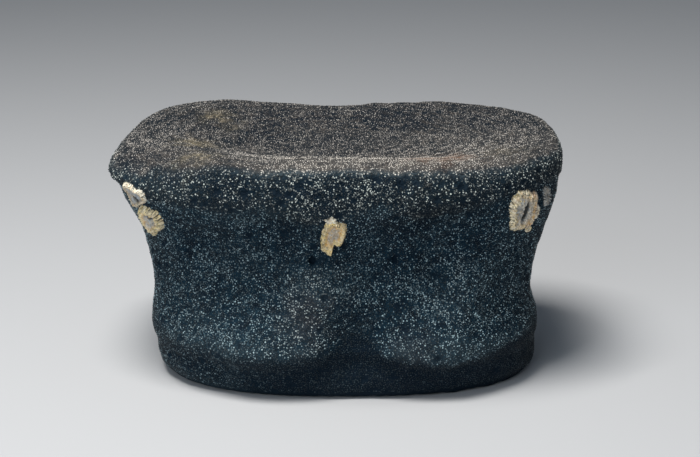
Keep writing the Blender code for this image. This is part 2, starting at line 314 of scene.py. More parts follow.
patches = noise_at(points, 14.0, 1.0)
patches_small = noise_at(points, 5.0, 2.0)
facing_up = smooth_step(normals[:, 2] + 0.16 * patches_small + 0.10 * patches, 0.35, 0.80)
top_zone = facing_up * smooth_step(points[:, 2], 80.0, 92.0)
rim_foot = np.interp(points[:, 0], *zip(*RIM_LINE))
rim_foot = RIM_BEHIND + (rim_foot - RIM_BEHIND) * smooth_step(-points[:, 1], -10.0, 20.0)
rim_wander = points[:, 2] + 2.0 * patches_small + 1.2 * patches
rim_zone = smooth_step(rim_wander, rim_foot - 2.5, rim_foot + 2.5)
ledge = np.exp(-(((rim_wander - rim_foot + 2.5) / 3.2) ** 2))
rim_zone *= 1.0 - top_zone
# How far out a point lies on the upper face: 0 in the middle, 1 at the edge.
outwards = np.abs(points[:, 0] / OUTLINE_HALF_WIDTH) ** OUTLINE_POWER
outwards = outwards + np.abs(points[:, 1] / OUTLINE_HALF_DEPTH) ** OUTLINE_POWER
outwards = outwards ** (1.0 / OUTLINE_POWER)
crest_zone = smooth_step(points[:, 2], 86.0, 94.0) * smooth_step(normals[:, 2], 0.35, 0.60)
crest_zone *= smooth_step(outwards + 0.06 * patches, 0.22, 0.84)
crest_zone *= smooth_step(-points[:, 1], -30.0, 20.0)
right_end = smooth_step(points[:, 0], 38.0, 80.0)
left_end = smooth_step(-points[:, 0], 12.0, 50.0)
crest_zone *= 1.0 - 0.75 * right_end - 0.85 * left_end
crest_zone *= 0.8 + 0.5 * patches_small
shade = rim_zone * smooth_step(np.abs(points[:, 0] - 8.0), 15.0, 50.0)
# Painted shade: below this line the foot is darkened, as if in the shadow of the lobes.
foot_line = np.interp(points[:, 0], *zip(*FOOT_LINE))
foot_line = FOOT_BEHIND + (foot_line - FOOT_BEHIND) * smooth_step(-points[:, 1], 0.0, 25.0)
edge_wander = 2.2 * patches + 1.6 * patches_small
foot_shade = 1.0 - smooth_step(points[:, 2] + edge_wander, foot_line - 3.5, foot_line + 2.5)
foot_shade *= 1.0 - 0.45 * smooth_step(-points[:, 0], 10.0, 60.0)

# A well-smoothed copy tells how far each point stands out of the form about it.
rounded = points.copy()
for _ in range(SMOOTHING_ROUNDS):
    rounded += SMOOTHING_PULL * (neighbour_mean(rounded, ends, COUNT) - rounded)
bulge = np.einsum("ij,ij->i", points - rounded, normals)
print("bulge:", np.round(np.percentile(bulge, (2, 50, 98)), 3), "mm")

# %% [markdown]
# ## Relief
# Several kinds of relief lie over each other: low waves of wear, a coarse and a fine grain,
# a ledge under the rim, small pits, the openings of blood vessels, and on the upper face
# the faint growth rings of the end plate. Each is a height in millimetres for every point,
# so they simply add up. Then the zones are stored on the mesh, for the materials to read.

# %% Put the relief in
# For each kind: how wide its lumps are and how high.
WAVES, GRAIN_COARSE, GRAIN_FINE = (7.0, 0.34), (3.4, 0.40), (2.3, 0.14)
RIM_SWELL, LEDGE_DEPTH = 0.25, 0.85
PIT_COUNT = 520
PIT_SIZES = (0.7, 1.9)
# The openings of blood vessels: how far across, how high, front -1 or back 1, half-width.
VESSELS = ((-9.2, 61.0, -1, 1.5), (24.7, 60.5, -1, 1.5), (-8.0, 52.0, 1, 2.2), (9.0, 55.0, 1, 2.0))
VESSEL_DEPTH = 1.6
RING_STEP, RING_HEIGHT = 4.6, 0.16
TOP_HALF_WIDTH, TOP_HALF_DEPTH = 78.0, 56.0


def pits(count, seed):
    """Small round hollows at random places, more of them on the rim and the sides."""
    draw = np.random.default_rng(seed)
    weight = 0.25 + rim_zone + 0.5 * (1.0 - top_zone)
    weight[points[:, 2] < 2.0] = 0.0
    chosen = draw.choice(COUNT, count, replace=False, p=weight / weight.sum())
    tree = KDTree(COUNT)
    for index, place in enumerate(points):
        tree.insert(place, index)
    tree.balance()
    depth = np.zeros(COUNT)
    for index in chosen:
        size = draw.uniform(*PIT_SIZES) * (1.0 - 0.4 * top_zone[index])
        for _, other, away in tree.find_range(points[index], size * 2.0):
            depth[other] = max(depth[other], 0.42 * size * math.exp(-((away / size) ** 2) * 1.6))
    return depth


def vessel_mouths():
    """1 in the mouth of each vessel opening, falling to 0 at its edge."""
    mouths = np.zeros(COUNT)
    for across, height, side, half_width in VESSELS:
        away = np.hypot(points[:, 0] - across, 0.7 * (points[:, 2] - height)) / half_width
        on_side = points[:, 1] * side > 30.0
        mouths = np.maximum(mouths, (1.0 - smooth_step(away, 0.5, 1.1)) * on_side)
    return mouths


def growth_rings():
    """Faint steps that run round the upper face, as the end plate grew outwards."""
    radius = np.hypot(points[:, 0] / TOP_HALF_WIDTH, (points[:, 1] - 3.0) / TOP_HALF_DEPTH)
    way = radius * TOP_HALF_DEPTH + 1.6 * patches + 0.5 * patches_small
    wave = np.cos(way / RING_STEP * math.tau)
    return RING_HEIGHT * wave * top_zone * smooth_step(radius, 0.25, 0.5)


coarse = noise_at(points, GRAIN_COARSE[0], 3.0)
fine = noise_at(points, GRAIN_FINE[0], 4.0)
pit_depth = np.maximum(pits(PIT_COUNT, 5), VESSEL_DEPTH * vessel_mouths())
grain_share = 0.60 + 0.40 * rim_zone
relief = WAVES[1] * noise_at(points, WAVES[0], 6.0) * (1.0 - 0.6 * top_zone)
relief += GRAIN_COARSE[1] * coarse * grain_share * (1.0 - 0.8 * top_zone)
relief += GRAIN_FINE[1] * fine
relief += RIM_SWELL * rim_zone - LEDGE_DEPTH * ledge
ring_height = growth_rings()
relief += ring_height - pit_depth
relief *= smooth_step(points[:, 2], 0.0, 3.0)
set_points(bone.data, points + normals * relief[:, None])
STORED = {
    "top_zone": top_zone,
    "rim_zone": rim_zone,
    "crest_zone": np.clip(crest_zone, 0.0, 1.0),
    "shade": shade,
    "foot_shade": foot_shade,
    "bulge": np.clip(bulge / 1.5, -1.0, 1.0),
    "pit": np.clip(pit_depth / 0.6, 0.0, 1.0),
    "ring": 0.5 + 0.5 * ring_height / RING_HEIGHT,
}
for value_name, values in STORED.items():
    set_value(bone.data, value_name, values)
print("relief:", round(float(relief.min()), 2), "to", round(float(relief.max()), 2), "mm")

# %% [markdown]
# ## Stains, painted shadow and painted light
# Iron from the ground left rust-coloured and tan patches. Two more kinds of spot set how
# pale the grains are. One is painted shadow: it darkens the hollows under the rim and the
# arch above the foot, bone and grains both. The other is painted light: it pales ridges,
# lobes, the waist and the left shoulder. Each is a soft spot about a place on the bone,
# with a ragged edge from noise.

# %% Store the stains and the painted spots
# For each spot: its middle, its radius and how strong it is at most.
STAINS_AND_PAINTED_SPOTS = {
    "rust": (
        ((38.0, -42.0, 101.0), 9.0, 1.0),
        ((50.0, -38.0, 101.0), 8.0, 1.0),
        ((-11.0, -60.0, 38.0), 9.0, 0.16),
        ((33.0, -62.0, 22.0), 8.0, 0.10),
    ),
    "tan": (
        ((-54.0, 27.0, 98.0), 7.0, 0.8),
        ((-60.0, -17.0, 99.0), 7.0, 0.8),
        ((-56.0, -44.0, 99.0), 6.0, 0.8),
        ((70.0, -30.0, 100.0), 9.0, 0.2),
    ),
    # Painted shadow: dark spots under the rim's lower edge and in the arch above the foot.
    "painted_shadow": (
        ((24.0, -58.0, 77.0), 7.0, 0.8),
        ((38.0, -58.0, 80.0), 10.0, 0.9),
        ((54.0, -56.0, 84.0), 9.0, 0.8),
        ((-18.0, -58.0, 77.0), 8.0, 0.6),
        ((-47.0, -58.0, 91.0), 8.0, 0.5),
        ((8.0, -56.0, 33.0), 9.0, 0.6),
    ),
    # Painted light: pale spots on ridges, lobes, the waist and the left shoulder.
    "painted_light": (
        ((-8.0, -60.0, 47.0), 13.0, 0.8),
        ((-13.0, -60.0, 34.0), 11.0, 0.9),
        ((-58.0, -52.0, 31.0), 15.0, 0.30),
        ((-38.0, -62.0, 27.0), 14.0, 0.25),
        ((-21.0, -62.0, 26.0), 11.0, 0.40),
        ((36.0, -62.0, 25.0), 12.0, 0.20),
        ((-72.0, -15.0, 98.0), 20.0, 0.60),
        ((50.0, -58.0, 52.0), 8.0, 0.6),
        ((45.0, -60.0, 42.0), 8.0, 0.6),
        ((-40.0, -56.0, 62.0), 12.0, 0.35),
    ),
}


def spot(places):
    """1 at the middle of each spot, falling raggedly to 0 about it."""
    strength = np.zeros(COUNT)
    for middle, radius, most in places:
        away = np.linalg.norm(points - np.array(middle), axis=1) / radius
        ragged = np.exp(-((away * (1.0 + 0.6 * patches_small)) ** 2))
        strength = np.maximum(strength, most * ragged)
    return strength


for spot_kind, places in STAINS_AND_PAINTED_SPOTS.items():
    set_value(bone.data, spot_kind, spot(places))
print("spots:", {spot_kind: len(places) for spot_kind, places in STAINS_AND_PAINTED_SPOTS.items()})

# %% [markdown]
# ## Node helpers
# A material is a net of nodes. It could be drawn by hand in the shader editor; here short
# helpers place a node and feed its inputs, so that a net reads like a few sums.

# %% Node helpers


def new_group(name, inputs, outputs):
    """An empty node group with named number, colour or vector sockets."""
    group = bpy.data.node_groups.new(name, "ShaderNodeTree")
    for socket, kind, value in inputs:
        made = group.interface.new_socket(socket, in_out="INPUT", socket_type="NodeSocket" + kind)
        if value is not None:
            made.default_value = value
    for socket, kind in outputs:
        group.interface.new_socket(socket, in_out="OUTPUT", socket_type="NodeSocket" + kind)
    start = group.nodes.new("NodeGroupInput")
    end = group.nodes.new("NodeGroupOutput")
    return group, start, end


def put(tree, kind, links=None, **settings):
    """Adds a node, sets its properties, and feeds its inputs from values or sockets."""
    node = tree.nodes.new(kind)
    for name, value in settings.items():
        setattr(node, name, value)
    for name, value in (links or {}).items():
        if isinstance(value, bpy.types.NodeSocket):
            tree.links.new(value, node.inputs[name])
        else:
            node.inputs[name].default_value = value
    return node


def ranged(tree, value, low, high, out_low=0.0, out_high=1.0):
    """Maps a number from one range to another, smoothly and clamped."""
    node = put(
        tree,
        "ShaderNodeMapRange",
        {"Value": value, "From Min": low, "From Max": high, "To Min": out_low, "To Max": out_high},
        interpolation_type="SMOOTHSTEP",
    )
    return node.outputs["Result"]


def maths(tree, operation, first, second=None):
    """One sum on two numbers."""
    node = put(tree, "ShaderNodeMath", {0: first}, operation=operation)
    if second is not None:
        if isinstance(second, bpy.types.NodeSocket):
            tree.links.new(second, node.inputs[1])
        else:
            node.inputs[1].default_value = second
    return node.outputs[0]


def mixed(tree, share, first, second, blend="MIX"):
    """Mixes two colours."""
    node = tree.nodes.new("ShaderNodeMix")
    node.data_type = "RGBA"
    node.blend_type = blend
    node.clamp_factor = True
    for socket, value in ((node.inputs[0], share), (node.inputs[6], first), (node.inputs[7], second)):
        if isinstance(value, bpy.types.NodeSocket):
            tree.links.new(value, socket)
        else:
            socket.default_value = value
    return node.outputs[2]


def attribute(tree, name):
    """Reads a number that is stored on the mesh."""
    return put(tree, "ShaderNodeAttribute", attribute_name=name).outputs["Fac"]


# %% [markdown]
# ## Shared effects
# Three effects are used by more than one material, so each is a node group: speckle, the
# look of a cut sponge of bone or shell; mottle, a slow change of tone; and staining, which
# lays rust and tan over a colour. The first two read object coordinates, in metres, so
# their scales are one over a real size.

# %% Shared effects
RUST = (0.20, 0.085, 0.030, 1.0)
TAN = (0.42, 0.35, 0.22, 1.0)


def make_speckle():
    """Bright, uneven blobs on a dark ground, in two sizes."""
    group, start, end = new_group(
        "speckle",
        (("Vector", "Vector", None), ("Scale", "Float", 600.0), ("Amount", "Float", 0.5)),
        (("Fac", "Float"), ("Height", "Float")),
    )
    vector, scale, amount = (start.outputs[name] for name in ("Vector", "Scale", "Amount"))
    warp_scale = maths(group, "MULTIPLY", scale, 0.9)
    warp = put(group, "ShaderNodeTexNoise", {"Vector": vector, "Scale": warp_scale})
    blobs = put(
        group,
        "ShaderNodeTexNoise",
        {"Vector": vector, "Scale": scale, "Detail": 2.0, "Roughness": 0.55, "Distortion": 0.35},
    )
    cells = put(
        group,
        "ShaderNodeTexVoronoi",
        {"Vector": vector, "Scale": maths(group, "MULTIPLY", scale, 0.8), "Randomness": 1.0},
        feature="F1",
    )
    round_blobs = maths(group, "SUBTRACT", 0.62, cells.outputs["Distance"])
    joined = maths(group, "ADD", blobs.outputs["Fac"], maths(group, "MULTIPLY", round_blobs, 0.35))
    joined = maths(group, "ADD", joined, maths(group, "MULTIPLY", warp.outputs["Fac"], 0.15))
    level = maths(group, "SUBTRACT", 0.86, maths(group, "MULTIPLY", amount, 0.26))
    fac = ranged(group, maths(group, "SUBTRACT", joined, level), 0.0, 0.11)
    group.links.new(fac, end.inputs["Fac"])
    group.links.new(joined, end.inputs["Height"])
    return group


def make_mottle():
    """A slow, uneven change between 0 and 1."""
    group, start, end = new_group(
        "mottle",
        (("Vector", "Vector", None), ("Scale", "Float", 60.0)),
        (("Fac", "Float"),),
    )
    vector, scale = start.outputs["Vector"], start.outputs["Scale"]
    cloud = put(
        group,
        "ShaderNodeTexNoise",
        {"Vector": vector, "Scale": scale, "Detail": 4.0, "Roughness": 0.6},
    )
    group.links.new(ranged(group, cloud.outputs["Fac"], 0.3, 0.7), end.inputs["Fac"])
    return group


def make_staining():
    """Rust and tan over a colour, each by its own number and both by a share."""
    group, start, end = new_group(
        "staining",
        (
            ("Color", "Color", None), ("Rust", "Float", 0.0), ("Tan", "Float", 0.0),
            ("Share", "Float", 0.5),
        ),
        (("Color", "Color"),),
    )
    colour = start.outputs["Color"]
    for spot_kind, tint in (("Rust", RUST), ("Tan", TAN)):
        amount = maths(group, "MULTIPLY", start.outputs[spot_kind], start.outputs["Share"])
        colour = mixed(group, amount, colour, tint)
    group.links.new(colour, end.inputs["Color"])
    return group


SPECKLE = make_speckle()
MOTTLE = make_mottle()
STAINING = make_staining()


def use(tree, group, **values):
    """Places a group in a material, with its own values."""
    node = tree.nodes.new("ShaderNodeGroup")
    node.node_tree = group
    for name, value in values.items():
        if isinstance(value, bpy.types.NodeSocket):
            tree.links.new(value, node.inputs[name])
        else:
            node.inputs[name].default_value = value
    return node


def stained(tree, colour, share):
    """A colour with the bone's stains over it."""
    rust, tan = attribute(tree, "rust"), attribute(tree, "tan")
    return use(tree, STAINING, Color=colour, Rust=rust, Tan=tan, Share=share).outputs["Color"]


print("shared effects:", SPECKLE.name, MOTTLE.name, STAINING.name)

# %% [markdown]
# ## The bone's material
# The ground between the grains is dark grey, with a painted blue cast of reflected light
# on the sides, and warmer on the upper face. Speckle in two sizes lies over it, strongest on
# the crest and weakest on the broken rim, where the ground is also darkened as painted shade
# in the gaps of its sponge. Lumps are rubbed a little pale, painted light pales some spots,
# and stains tint it. Painted shade darkens the hollows, the pits, the foot and the spots of
# painted shadow. It could be one painted picture; nodes stay sharp from every side.

# %% Bone material
# Painted reflection: the blue in the dark and mid ground and in the pale grains stands for reflected blue
# light on a dark grey bone.
GROUND_DARK = (0.0014, 0.0070, 0.0145, 1.0)
GROUND_MID = (0.005, 0.024, 0.041, 1.0)
GROUND_TOP = (0.026, 0.024, 0.024, 1.0)
GRAIN_PALE = (0.14, 0.21, 0.24, 1.0)
GRAIN_TOP = (0.15, 0.135, 0.12, 1.0)


def bone_material():
    """Dark fossil bone."""
    material = bpy.data.materials.new("fossil_bone")
    material.use_nodes = True
    tree = material.node_tree
    shader = tree.nodes["Principled BSDF"]
    where = put(tree, "ShaderNodeTexCoord").outputs["Object"]
    top, rim = attribute(tree, "top_zone"), attribute(tree, "rim_zone")
    crest, foot = attribute(tree, "crest_zone"), attribute(tree, "foot_shade")
    bulging, pit = attribute(tree, "bulge"), attribute(tree, "pit")
    slow = use(tree, MOTTLE, Vector=where, Scale=55.0).outputs["Fac"]
    quick = use(tree, MOTTLE, Vector=where, Scale=260.0).outputs["Fac"]

    ground = mixed(tree, maths(tree, "MULTIPLY", quick, 0.8), GROUND_DARK, GROUND_MID)
    ring = ranged(tree, attribute(tree, "ring"), 0.2, 0.9, 0.35, 1.0)
    ringed = maths(tree, "MULTIPLY", quick, ring)
    ground = mixed(tree, top, ground, mixed(tree, ringed, GROUND_DARK, GROUND_TOP))
    # Painted shade: the ground on the broken rim is darkened, for the shaded gaps of its sponge.
    ground = mixed(tree, maths(tree, "MULTIPLY", rim, 0.7), ground, GROUND_DARK)
    crest_amount = maths(tree, "MULTIPLY", crest, 0.55)
    coarse_amount = maths(tree, "ADD", maths(tree, "MULTIPLY", slow, 0.30), crest_amount)
    coarse_amount = maths(tree, "SUBTRACT", coarse_amount, maths(tree, "MULTIPLY", rim, 0.5))
    coarse_grain = use(tree, SPECKLE, Vector=where, Scale=800.0, Amount=coarse_amount)
    top_amount = maths(tree, "MULTIPLY", top, 0.3)
    fine_amount = maths(tree, "ADD", maths(tree, "MULTIPLY", slow, 0.8), top_amount)
    fine_amount = maths(tree, "SUBTRACT", fine_amount, maths(tree, "MULTIPLY", rim, 0.8))
    fine_grain = use(tree, SPECKLE, Vector=where, Scale=1500.0, Amount=fine_amount)

    pale = mixed(tree, top, GRAIN_PALE, GRAIN_TOP)
    colour = mixed(tree, maths(tree, "MULTIPLY", fine_grain.outputs["Fac"], 0.6), ground, pale)
    colour = mixed(tree, maths(tree, "MULTIPLY", coarse_grain.outputs["Fac"], 0.8), colour, pale)
    rubbed_and_lit = maths(tree, "MULTIPLY", ranged(tree, bulging, 0.10, 0.75), 0.12)
    rubbed_and_lit = maths(tree, "MAXIMUM", rubbed_and_lit, maths(tree, "MULTIPLY", crest, 0.42))
    # Painted light: the painted light spots are paled a little, as the rubbed lumps and the crest are.
    painted_light = maths(tree, "MULTIPLY", attribute(tree, "painted_light"), 0.08)
    rubbed_and_lit = maths(tree, "MAXIMUM", rubbed_and_lit, painted_light)
    colour = mixed(tree, rubbed_and_lit, colour, pale)
    colour = stained(tree, colour, ranged(tree, quick, 0.1, 0.9, 0.1, 0.6))
    # Painted shade: hollows, pits and vessel mouths, the foot and the painted shadow spots are darkened
    # towards the dark ground.
    hollow = maths(tree, "MULTIPLY", ranged(tree, bulging, -0.10, -0.8), 0.75)
    painted_shade = maths(tree, "MULTIPLY", maths(tree, "MAXIMUM", hollow, pit), 0.85)
    painted_shade = maths(tree, "MAXIMUM", painted_shade, maths(tree, "MULTIPLY", foot, 0.95))
    painted_shade = maths(tree, "MAXIMUM", painted_shade, attribute(tree, "painted_shadow"))
    colour = mixed(tree, painted_shade, colour, GROUND_DARK)
    tree.links.new(colour, shader.inputs["Base Color"])

    fine_height = maths(tree, "MULTIPLY", fine_grain.outputs["Height"], 0.45)
    height = maths(tree, "ADD", coarse_grain.outputs["Height"], fine_height)
    bump = put(tree, "ShaderNodeBump", {"Strength": 0.8, "Distance": 0.0009, "Height": height})
    tree.links.new(bump.outputs["Normal"], shader.inputs["Normal"])
    roughness = ranged(tree, coarse_grain.outputs["Fac"], 0.0, 1.0, 0.75, 0.5)
    tree.links.new(roughness, shader.inputs["Roughness"])
    shader.inputs["Specular IOR Level"].default_value = 0.10
    return material


bone.data.materials.append(bone_material())
bone.data.shade_smooth()
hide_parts("vertebra")
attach(bone, "root")
print("bone's material:", len(bone.data.materials[0].node_tree.nodes), "nodes")

# %% [markdown]
# ## Grains
# The worn skin of the real bone is a crust of grains about a millimetre across: the broken
# ends of its sponge, filled with stone. They are too many for hands, so a Geometry Nodes
# tree scatters them: points over the skin, no two nearer than a set distance, and on each a
# small double pyramid, squashed, turned and half sunk. Smooth shading rounds it. Each
# grain keeps one random number, its tone, and the zone numbers of the skin it stands on.
# A particle system could do the same, but its grains wouldn't be in the finished mesh.

# %% The tree that scatters grains
GRAIN_SEGMENTS, GRAIN_RINGS = 4, 2
TONE_SEED = 7


def grain_tree(material):
    """Scatters grains over a mesh. A number stored on the mesh says where, from 0 to 1."""
    tree = bpy.data.node_groups.new("grain_scatter", "GeometryNodeTree")
    face = tree.interface
    face.new_socket("Geometry", in_out="INPUT", socket_type="NodeSocketGeometry")
    for name, kind in (("Where", "String"), ("Spacing", "Float"), ("Density", "Float")):
        face.new_socket(name, in_out="INPUT", socket_type="NodeSocket" + kind)
    for name, kind in (("Smallest", "Vector"), ("Largest", "Vector"), ("Seed", "Int")):
        face.new_socket(name, in_out="INPUT", socket_type="NodeSocket" + kind)
    face.new_socket("Geometry", in_out="OUTPUT", socket_type="NodeSocketGeometry")
    start, end = put(tree, "NodeGroupInput"), put(tree, "NodeGroupOutput")
    given = start.outputs
    where = put(tree, "GeometryNodeInputNamedAttribute", {"Name": given["Where"]}, data_type="FLOAT")
    points = put(
        tree,
        "GeometryNodeDistributePointsOnFaces",
        {
            "Mesh": given["Geometry"],
            "Distance Min": given["Spacing"],
            "Density Max": given["Density"],
            "Density Factor": where.outputs["Attribute"],
            "Seed": given["Seed"],
        },
        distribute_method="POISSON",
    )
    spin = put(tree, "FunctionNodeRandomValue", {3: math.tau, "Seed": given["Seed"]}, data_type="FLOAT")
    turn = put(tree, "ShaderNodeCombineXYZ", {"Z": spin.outputs[1]})
    turned = put(
        tree,
        "FunctionNodeRotateRotation",
        {"Rotation": points.outputs["Rotation"], "Rotate By": turn.outputs["Vector"]},
        rotation_space="LOCAL",
    )
    size = put(
        tree,
        "FunctionNodeRandomValue",
        {0: given["Smallest"], 1: given["Largest"], "Seed": given["Seed"]},
        data_type="FLOAT_VECTOR",
    )
    grain = put(
        tree,
        "GeometryNodeMeshUVSphere",
        {"Segments": GRAIN_SEGMENTS, "Rings": GRAIN_RINGS, "Radius": 1.0},
    )
    placed = put(
        tree,
        "GeometryNodeInstanceOnPoints",
        {
            "Points": points.outputs["Points"],
            "Instance": grain.outputs["Mesh"],
            "Rotation": turned.outputs["Rotation"],
            "Scale": size.outputs[0],
        },
    )
    chance = put(tree, "FunctionNodeRandomValue", {"Seed": TONE_SEED}, data_type="FLOAT")
    toned = put(
        tree,
        "GeometryNodeStoreNamedAttribute",
        {"Geometry": placed.outputs["Instances"], "Name": "tone", "Value": chance.outputs[1]},
        data_type="FLOAT",
        domain="INSTANCE",
    )
    real = put(tree, "GeometryNodeRealizeInstances", {"Geometry": toned.outputs["Geometry"]})
    smooth = put(tree, "GeometryNodeSetShadeSmooth", {"Geometry": real.outputs["Geometry"]})
    dressed = put(
        tree, "GeometryNodeSetMaterial", {"Geometry": smooth.outputs["Geometry"], "Material": material}
    )
    tree.links.new(dressed.outputs["Geometry"], end.inputs["Geometry"])
    return tree


# %% [markdown]
# ## The grains' material
# A grain is glossier than the ground between: its top is polished by the sea. Most grains
# are nearly as dark as the ground, some are pale, and few are bright, so the tone number is
# raised to a power before it picks the colour. A high power leaves few bright grains, as in
# hollows, and a low one leaves many, as on the crest. Zones and stains tint them too.

# %% Grain material
# Painted reflection: the blue-green tint of the dark, side, rim and painted light grains is a cast of
# reflected blue light.
GRAIN_DARK = (0.003, 0.009, 0.014, 1.0)
GRAIN_SIDE = (0.37, 0.51, 0.56, 1.0)
GRAIN_RIM = (0.62, 0.67, 0.63, 1.0)
GRAIN_PAINTED_LIGHT = (0.57, 0.63, 0.62, 1.0)
GRAIN_UPPER = (0.49, 0.455, 0.42, 1.0)
GRAIN_CREST = (0.90, 0.84, 0.76, 1.0)
LEAST_POWER = 0.6


def grain_material():
    """Polished grains in many tones."""
    material = bpy.data.materials.new("bone_grain")
    material.use_nodes = True
    tree = material.node_tree
    shader = tree.nodes["Principled BSDF"]
    where = put(tree, "ShaderNodeTexCoord").outputs["Object"]
    top, rim, tone = (attribute(tree, name) for name in ("top_zone", "rim_zone", "tone"))
    crest, foot = attribute(tree, "crest_zone"), attribute(tree, "foot_shade")
    slow = use(tree, MOTTLE, Vector=where, Scale=70.0).outputs["Fac"]
    # Painted light: grains in the painted light spots take a paler colour.
    painted_light = attribute(tree, "painted_light")
    pale = mixed(tree, painted_light, GRAIN_SIDE, GRAIN_PAINTED_LIGHT)
    pale = mixed(tree, rim, pale, GRAIN_RIM)
    pale = mixed(tree, top, pale, GRAIN_UPPER)
    pale = mixed(tree, crest, pale, GRAIN_CREST)
    # Painted shade: grains on the foot are darkened, as if in the lobes' shadow.
    pale = mixed(tree, maths(tree, "MULTIPLY", foot, 0.88), pale, GRAIN_DARK)
    quick = use(tree, MOTTLE, Vector=where, Scale=230.0).outputs["Fac"]
    power = maths(
        tree, "ADD", ranged(tree, slow, 0.0, 1.0, 4.3, 2.2), ranged(tree, quick, 0.0, 1.0, 1.3, -0.7)
    )
    # Painted shadow spots and the shaded ends of the rim raise the power, so few grains are bright there;
    # the painted light spots lower it.
    painted_shadow, shade = attribute(tree, "painted_shadow"), attribute(tree, "shade")
    for zone, more in ((crest, -2.9), (painted_light, -0.8), (painted_shadow, 4.0), (shade, 1.6), (rim, 0.7)):
        power = maths(tree, "ADD", power, maths(tree, "MULTIPLY", zone, more))
    ring = ranged(tree, attribute(tree, "ring"), 0.2, 0.9, 0.1, -1.1)
    power = maths(tree, "ADD", power, maths(tree, "MULTIPLY", top, ring))
    power = maths(tree, "MAXIMUM", power, LEAST_POWER)
    colour = mixed(tree, maths(tree, "POWER", tone, power), GRAIN_DARK, pale)
    colour = stained(tree, colour, ranged(tree, tone, 0.0, 1.0, 0.0, 0.8))
    tree.links.new(colour, shader.inputs["Base Color"])
    shader.inputs["Roughness"].default_value = 0.33
    shader.inputs["Specular IOR Level"].default_value = 0.35
    return material


# %% [markdown]
# ## Scatter the grains
# One tree makes all the grains, in four sets: each has its own spacing and sizes, and stays
# small enough to be a light mesh. The tree is run as a modifier on the skin, its result is
# kept as a plain mesh, and the modifier is taken off again.

# %% Scatter the grains
# For each set: the least spacing in millimetres, the most grains in a square metre, the
# smallest and the largest half-sizes in millimetres, and the seed.
GRAIN_SETS = {
    "grains_top": (0.66, 3.2e6, (0.20, 0.18, 0.12), (0.50, 0.40, 0.32), 11),
    "grains_rim": (0.54, 4.4e6, (0.22, 0.20, 0.20), (0.60, 0.46, 0.46), 12),
    "grains_front": (0.65, 3.3e6, (0.22, 0.20, 0.16), (0.58, 0.46, 0.40), 13),
    "grains_back": (0.74, 2.5e6, (0.26, 0.24, 0.16), (0.62, 0.50, 0.40), 14),
}


def grain_places():
    """Where each set of grains lies, as numbers from 0 to 1 at the points of the skin."""
    off_foot = (points[:, 2] > 3.0).astype(float)
    side = off_foot * (1.0 - top_zone) * (1.0 - rim_zone)
    # The openings of vessels and the pits stay open.
    clear = 1.0 - np.clip(pit_depth / 0.35, 0.0, 1.0)
    return {
        "grains_top": top_zone * clear,
        "grains_rim": rim_zone * clear * off_foot,
        "grains_front": side * clear * (points[:, 1] < 0.0),
        "grains_back": side * clear * (points[:, 1] >= 0.0),
    }


def scatter(name, places, tree):
    """One set of grains, as a plain mesh."""
    spacing, density, smallest, largest, seed = GRAIN_SETS[name]
    set_value(bone.data, "where", places)
    made = link(name, bone.data)
    modifier = made.modifiers.new("scatter", "NODES")
    modifier.node_group = tree
    values = {
        "Where": "where",
        "Spacing": spacing * MM,
        "Density": density,
        "Smallest": [value * MM for value in smallest],
        "Largest": [value * MM for value in largest],
        "Seed": seed,
    }
    for socket in tree.interface.items_tree:
        if socket.name in values:
            modifier[socket.identifier] = values[socket.name]
    graph = bpy.context.evaluated_depsgraph_get()
    mesh = bpy.data.meshes.new_from_object(made.evaluated_get(graph))
    made.modifiers.clear()
    made.data = mesh
    mesh.name = name
    for spare in ("where", "bulge", "pit"):
        mesh.attributes.remove(mesh.attributes[spare])
    bone.data.attributes.remove(bone.data.attributes["where"])
    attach(made, "root")
    print(name + ":", triangles_in(mesh), "triangles")
    return made


GRAIN_TREE = grain_tree(grain_material())
for grain_set, grain_share_map in grain_places().items():
    scatter(grain_set, grain_share_map, GRAIN_TREE)

# %% [markdown]
# ## Barnacle shells
# Each shell is what is left of a barnacle that cemented itself to the bone: a ring of
# ribbed wall, broken low, about a floor or a mouth. A shell is drawn flat first, as rings
# of points inside its outline, with a height for each point. Every point is then dropped
# onto the skin of the bone, so that the shell hugs it, and lifted by its height. A shrinkwrap
# modifier does nearly the same, but gives less control over the lift.

# %% Shell helpers
SHELL_ROUND, SHELL_RINGS = 288, 30
SHELL_SINK = 0.5
EDGE_STEEP = 0.20
FAR_AWAY, WIDE_SPOT = 150.0, 6.0
UP = Vector((0.0, 0.0, 1.0))
SIDES = {
    "right": (Vector((1, 0, 0)), Vector((0, 1, 0))),
    "left": (Vector((-1, 0, 0)), Vector((0, 1, 0))),
    "front": (Vector((0, -1, 0)), Vector((1, 0, 0))),
}


def surface_of(thing):
    """A search tree over the faces of a piece, for dropping points onto it."""
    graph = bpy.context.evaluated_depsgraph_get()
    graph.update()
    return BVHTree.FromObject(thing, graph)


def frame_at(side, across, height):
    """A place on the skin, the way out of it, and the ways right and up along it."""
    facing, across_way = SIDES[side]
    start = facing * FAR_AWAY + across_way * across + UP * height
    place, out, _, _ = SKIN.ray_cast(start * MM, -facing)
    # The way out is averaged over a wide spot, so that one grain can't tip a shell.
    near = SKIN.find_nearest_range(place, WIDE_SPOT * MM)
    out = sum((found[1] for found in near), Vector()).normalized()
    up = (UP - out * out.z).normalized()
    return place / MM, out, up.cross(out), up


def outline_radius(corners, middle, angles):
    """How far the closed line through the corners lies from the middle, at each angle."""
    offsets = np.array(corners) - np.array(middle)
    turn = np.arctan2(offsets[:, 0], offsets[:, 1]) % math.tau
    order = np.argsort(turn)
    far = np.hypot(offsets[:, 0], offsets[:, 1])[order]
    radius = np.interp(angles, turn[order], far, period=math.tau)
    for _ in range(2):
        radius = (np.roll(radius, 1) + 2.0 * radius + np.roll(radius, -1)) / 4.0
    return radius


